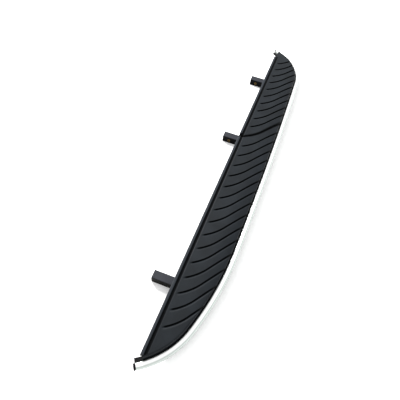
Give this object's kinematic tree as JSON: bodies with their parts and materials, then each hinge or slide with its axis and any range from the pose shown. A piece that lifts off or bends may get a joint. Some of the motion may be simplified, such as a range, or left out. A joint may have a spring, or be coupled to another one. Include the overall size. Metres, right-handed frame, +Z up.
{
  "type": "running board",
  "caption": "Left-hand vehicle running board with swept grooves in a two-part tread, a polished outboard rail, a welded steel frame and square mounting stubs.",
  "frame": {"origin": "middle of the bounding box, on the ground plane under the cross tubes", "axes": "+X towards the front tip, which has the long taper, +Y outboard towards the polished rail, +Z up"},
  "size_m": [1.8896, 0.2742, 0.079],
  "materials": {
    "tread_plastic": "fine grained satin",
    "joint_rubber": "matte",
    "carrier_plastic": "matte",
    "polished_rail": "bright polished",
    "cap_plastic": "satin",
    "frame_paint": "satin black coating",
    "plug_plastic": "matte",
    "yellow_zinc": "yellow passivated zinc",
    "screw_steel": "zinc plated",
    "pad_foam": "closed cell foam"
  },
  "bodies": {
    "root": {"front_tread_cover": "tread_plastic", "rear_tread_cover": "tread_plastic", "cover_joint_strip": "joint_rubber", "trim_carrier": "carrier_plastic", "trim_rail": "polished_rail", "front_rail_cap": "cap_plastic", "rear_rail_cap": "cap_plastic", "inner_beam": "frame_paint", "outer_beam": "frame_paint", "beam_end_plugs": "plug_plastic", "cross_tube_plugs": "plug_plastic", "gusset_plates": "frame_paint", "front_outrigger": "frame_paint", "rear_outrigger": "frame_paint", "front_tip_support": "frame_paint", "rear_tip_support": "frame_paint", "cover_tabs": "frame_paint", "cover_washers": "screw_steel", "cover_screws": "screw_steel", "rail_screws": "screw_steel", "flange_screws": "screw_steel", "foam_pads": "pad_foam", "middle_rivet_nut": "yellow_zinc", "rear_rivet_nut": "yellow_zinc", "front_cross_tube": "frame_paint", "middle_cross_tube": "frame_paint", "rear_cross_tube": "frame_paint"}
  },
  "joints": []
}
